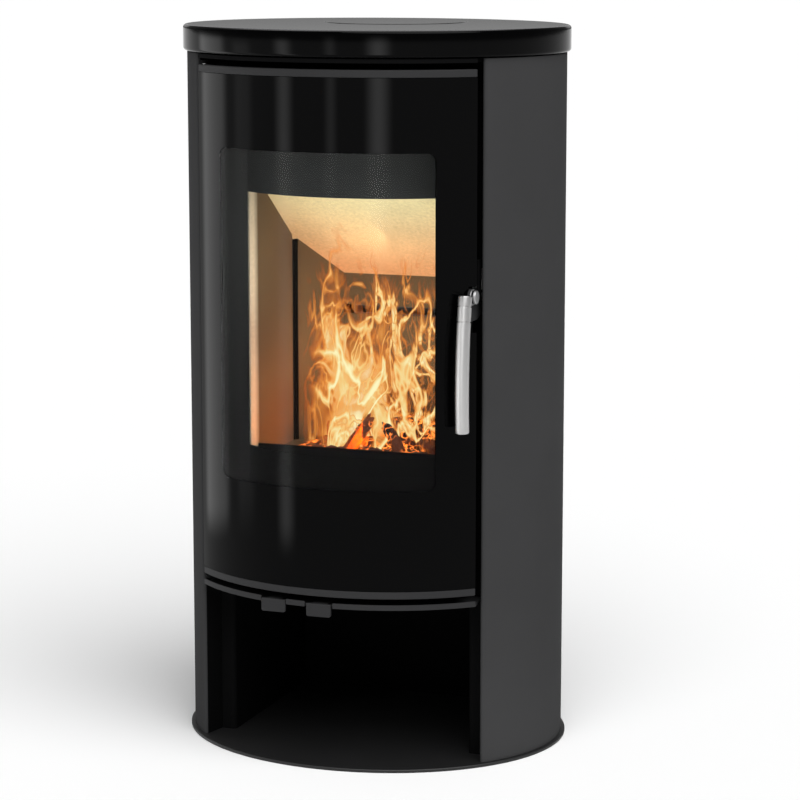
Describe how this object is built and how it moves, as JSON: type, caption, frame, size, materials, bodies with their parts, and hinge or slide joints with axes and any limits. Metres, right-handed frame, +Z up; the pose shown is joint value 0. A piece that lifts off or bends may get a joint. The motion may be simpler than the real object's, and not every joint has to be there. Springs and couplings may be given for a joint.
{
  "type": "wood stove",
  "caption": "Tall oval wood stove with a curved black glass door, bowed steel bar handle, ceramic top, air slides and an open wood store below.",
  "frame": {"origin": "centre of the base plate's underside, on the floor", "axes": "+Z up, -Y out through the glass door, +X towards the handle side"},
  "size_m": [0.5, 0.458, 0.9195],
  "materials": {
    "black_steel": "matt black stove paint",
    "slide_black": "satin black stove paint",
    "panel_grey": "matt anthracite stove paint",
    "glazed_top": "glossy black glaze",
    "vermiculite": "pressed vermiculite, pale tan",
    "cast_iron": "raw cast iron",
    "raw_steel": "heat-dulled sheet steel",
    "black_glass": "clear ceramic glass, printed black round the window",
    "trim_grey": "satin anthracite bar",
    "gasket_rope": "woven glass-fibre rope, grey-black",
    "brushed_steel": "fine brushed stainless steel",
    "zinc_steel": "blackened or zinc-plated steel",
    "firebox_paint": "matt black stove paint, sooted inside"
  },
  "bodies": {
    "stove": {"base_plate": "black_steel", "levelling_screws": "zinc_steel", "right_side_panel": "panel_grey", "left_side_panel": "panel_grey", "rear_panel": "panel_grey", "panel_screws": "zinc_steel", "store_right_wall": "black_steel", "store_left_wall": "black_steel", "store_back": "black_steel", "store_ceiling": "black_steel", "firebox_wrap": "firebox_paint", "firebox_floor": "firebox_paint", "firebox_roof": "firebox_paint", "top_outlet_cover": "firebox_paint", "hearth_plate": "firebox_paint", "front_frame": "black_steel", "right_side_lining": "vermiculite", "left_side_lining": "vermiculite", "right_corner_lining": "vermiculite", "left_corner_lining": "vermiculite", "lower_back_lining": "vermiculite", "upper_back_lining": "vermiculite", "rear_air_duct": "raw_steel", "lower_baffle": "vermiculite", "upper_baffle": "raw_steel", "baffle_rails": "raw_steel", "grate": "cast_iron", "front_hearth_slab": "vermiculite", "rear_hearth_slab": "vermiculite", "right_hearth_slab": "vermiculite", "left_hearth_slab": "vermiculite", "log_guard": "raw_steel", "ash_pan": "raw_steel", "air_box": "raw_steel", "intake_plenum": "raw_steel", "air_inlet_spigot": "black_steel", "flue_spigot": "black_steel", "rear_heat_shield": "raw_steel", "shield_spacers": "raw_steel", "top_frame": "black_steel", "top_plate_pads": "gasket_rope", "top_plate": "glazed_top", "hinge_brackets": "black_steel", "hinge_pins": "zinc_steel", "latch_catch": "zinc_steel"},
    "door": {"door_glass": "black_glass", "door_top_trim": "trim_grey", "door_bottom_trim": "trim_grey", "door_frame": "black_steel", "inner_door_frame": "black_steel", "glass_gasket": "gasket_rope", "door_gasket": "gasket_rope", "pivot_washer": "zinc_steel", "latch_bracket": "black_steel", "handle_pin": "zinc_steel"},
    "handle": {"handle_grip": "brushed_steel", "handle_lever": "black_steel"},
    "lid": {"flue_lid": "glazed_top"},
    "primary_slide": {"primary_air_slide": "slide_black"},
    "secondary_slide": {"secondary_air_slide": "slide_black"}
  },
  "joints": [
    {"name": "door_swing", "type": "hinge", "parent": "stove", "child": "door", "pos_m": [-0.17319, -0.14589, 0.2262], "axis": [0, 0, -1], "range_deg": [0, 110]},
    {"name": "handle_lift", "type": "hinge", "parent": "door", "child": "handle", "pos_m": [0.17799, -0.15004, 0.596], "axis": [-1, 0, 0], "range_deg": [0, 45]},
    {"name": "lid_lift", "type": "slide", "parent": "stove", "child": "lid", "axis": [0, 0, 1], "range_m": [0, 0.06]},
    {"name": "primary_air", "type": "slide", "parent": "stove", "child": "primary_slide", "axis": [0, -1, 0], "range_m": [0, 0.035]},
    {"name": "secondary_air", "type": "slide", "parent": "stove", "child": "secondary_slide", "axis": [0, -1, 0], "range_m": [0, 0.035]}
  ]
}
